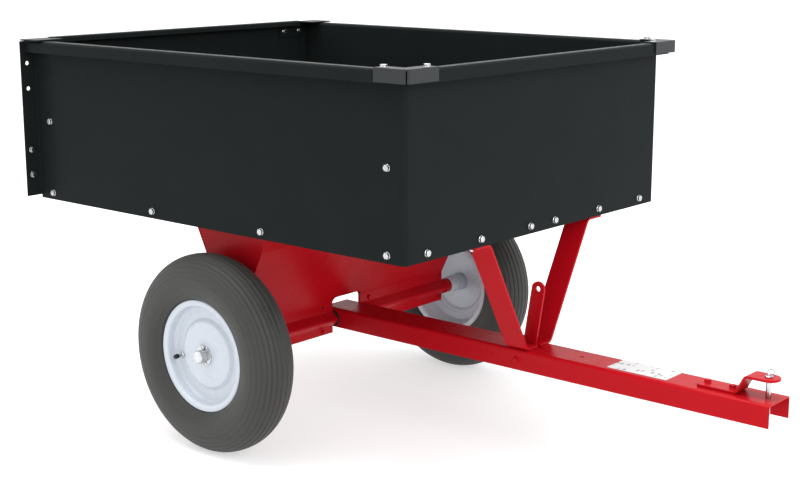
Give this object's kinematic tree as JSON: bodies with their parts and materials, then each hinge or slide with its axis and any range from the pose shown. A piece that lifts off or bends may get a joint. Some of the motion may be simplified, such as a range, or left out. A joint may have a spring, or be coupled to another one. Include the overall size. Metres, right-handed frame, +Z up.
{
  "type": "tow behind cart",
  "caption": "Two-wheeled steel dump cart with a tipping rectangular bed, lift-out tailgate, channel tongue, foot latch and pin hitch.",
  "frame": {"origin": "on the ground, at the middle of the cart's overall length and width", "axes": "+X forward to the hitch along the tongue, +Y to the cart's left, +Z up"},
  "size_m": [1.5626, 0.899, 0.8112],
  "materials": {
    "frame_red": "glossy red powder coat",
    "bed_black": "glossy black enamel",
    "cap_grey": "satin dark grey moulded plastic",
    "zinc": "bright zinc plate",
    "axle_steel": "plain turned steel",
    "spring_steel": "oiled spring wire",
    "label_white": "satin vinyl, left blank",
    "nylon_black": "satin nylon",
    "tyre_rubber": "matte dark grey rubber",
    "tube_rubber": "matte butyl rubber",
    "wheel_white": "glossy pale grey-white enamel",
    "valve_rubber": "satin rubber",
    "cap_black": "black plastic"
  },
  "bodies": {
    "drawbar": {"tongue": "frame_red", "hitch_plate": "frame_red", "hitch_bolts": "frame_red", "hitch_nuts": "frame_red", "blank_label": "label_white", "pivot_bushings": "nylon_black", "latch_bolt": "frame_red", "latch_nut": "frame_red", "latch_bush": "zinc"},
    "latch": {"latch_lever": "frame_red", "latch_spring": "spring_steel"},
    "pin": {"hitch_pin": "zinc", "pin_ring": "zinc"},
    "bed": {"floor_pan": "bed_black", "front_panel": "bed_black", "side_panel_right": "bed_black", "side_panel_left": "bed_black", "corner_cap_right": "cap_grey", "corner_cap_left": "cap_grey", "guide_stakes": "bed_black", "retainer_strips": "bed_black", "panel_bolts": "zinc", "panel_nuts": "zinc", "flange_bolts": "zinc", "flange_nuts": "zinc", "cap_bolts": "zinc", "cap_nuts": "zinc", "cradle_front": "frame_red", "cradle_rear": "frame_red", "cradle_ends": "frame_red", "cradle_bolts": "frame_red", "cradle_nuts": "frame_red", "floor_bolts": "zinc", "floor_nuts": "zinc", "bed_brace": "frame_red", "axle": "axle_steel", "axle_sleeves": "frame_red", "axle_washers": "zinc", "cotter_pins": "zinc"},
    "tailgate": {"tailgate_panel": "bed_black", "tailgate_hooks": "bed_black", "tailgate_bolts": "zinc", "tailgate_nuts": "zinc"},
    "wheel_right": {"tyre_right": "tyre_rubber", "tube_right": "tube_rubber", "rim_outer_right": "wheel_white", "rim_inner_right": "wheel_white", "hub_right": "wheel_white", "hub_bushings_right": "nylon_black", "valve_right": "valve_rubber", "valve_cap_right": "cap_black"},
    "wheel_left": {"tyre_left": "tyre_rubber", "tube_left": "tube_rubber", "rim_outer_left": "wheel_white", "rim_inner_left": "wheel_white", "hub_left": "wheel_white", "hub_bushings_left": "nylon_black", "valve_left": "valve_rubber", "valve_cap_left": "cap_black"}
  },
  "joints": [
    {"name": "bed_tip", "type": "hinge", "parent": "drawbar", "child": "bed", "pos_m": [-0.2537, 0, 0.203], "axis": [0, -1, 0], "range_deg": [0, 45]},
    {"name": "wheel_right_spin", "type": "hinge", "parent": "bed", "child": "wheel_right", "pos_m": [-0.2537, -0.3905, 0.203], "axis": [0, 1, 0], "continuous": true},
    {"name": "wheel_left_spin", "type": "hinge", "parent": "bed", "child": "wheel_left", "pos_m": [-0.2537, 0.3905, 0.203], "axis": [0, 1, 0], "continuous": true},
    {"name": "tailgate_lift", "type": "slide", "parent": "bed", "child": "tailgate", "axis": [0, 0, 1], "range_m": [0, 0.35]},
    {"name": "latch_pivot", "type": "hinge", "parent": "drawbar", "child": "latch", "pos_m": [0.2408, 0, 0.203], "axis": [0, 1, 0], "range_deg": [-8, 25], "stiffness_Nm_per_rad": 2},
    {"name": "pin_lift", "type": "slide", "parent": "drawbar", "child": "pin", "axis": [0, 0, 1], "range_m": [0, 0.08]}
  ]
}
